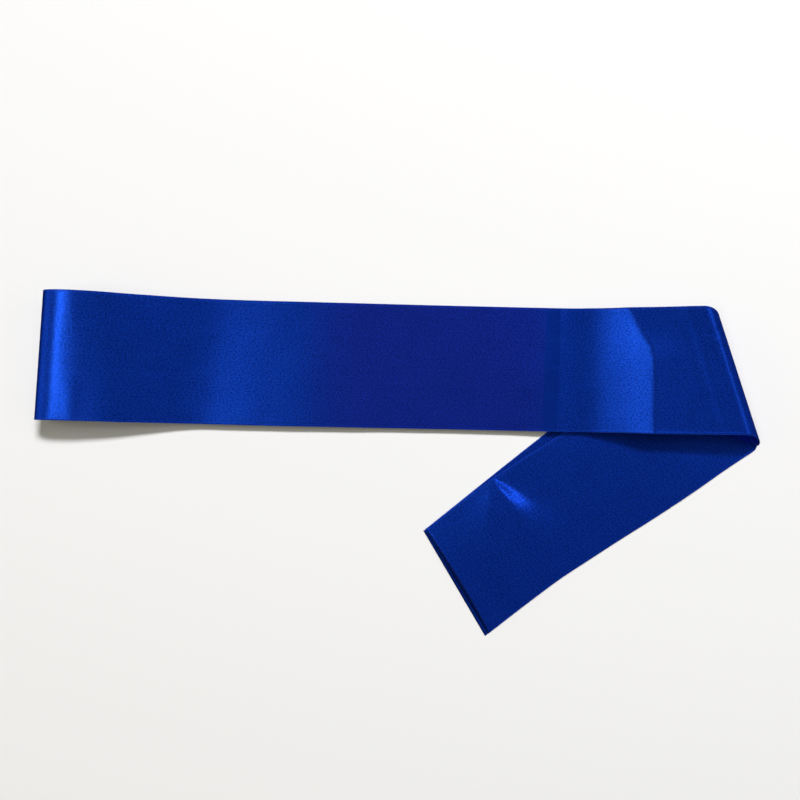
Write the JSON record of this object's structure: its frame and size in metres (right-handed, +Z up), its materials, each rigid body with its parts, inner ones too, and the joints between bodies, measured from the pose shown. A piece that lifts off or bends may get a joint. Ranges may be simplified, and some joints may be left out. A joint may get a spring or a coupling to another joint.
{
  "type": "satin sash",
  "caption": "Long plain satin ribbon sash, folded in half and laid flat, with a soft round turn at one end and its doubled tail turned back obliquely at the other.",
  "frame": {"origin": "on the surface the sash lies on, under the middle of the rectangle it covers", "axes": "+X along the straight doubled run, from the soft round turn to the oblique turn; +Y across the run, away from the tail; +Z up"},
  "size_m": [0.5528, 0.2612, 0.0307],
  "materials": {
    "satin": "glossy royal-blue satin on both faces"
  },
  "bodies": {
    "root": {"lower_tail": "satin", "right_turn_outer": "satin", "upper_run": "satin", "left_turn": "satin", "under_run": "satin", "right_turn_inner": "satin", "upper_tail": "satin"}
  },
  "joints": []
}
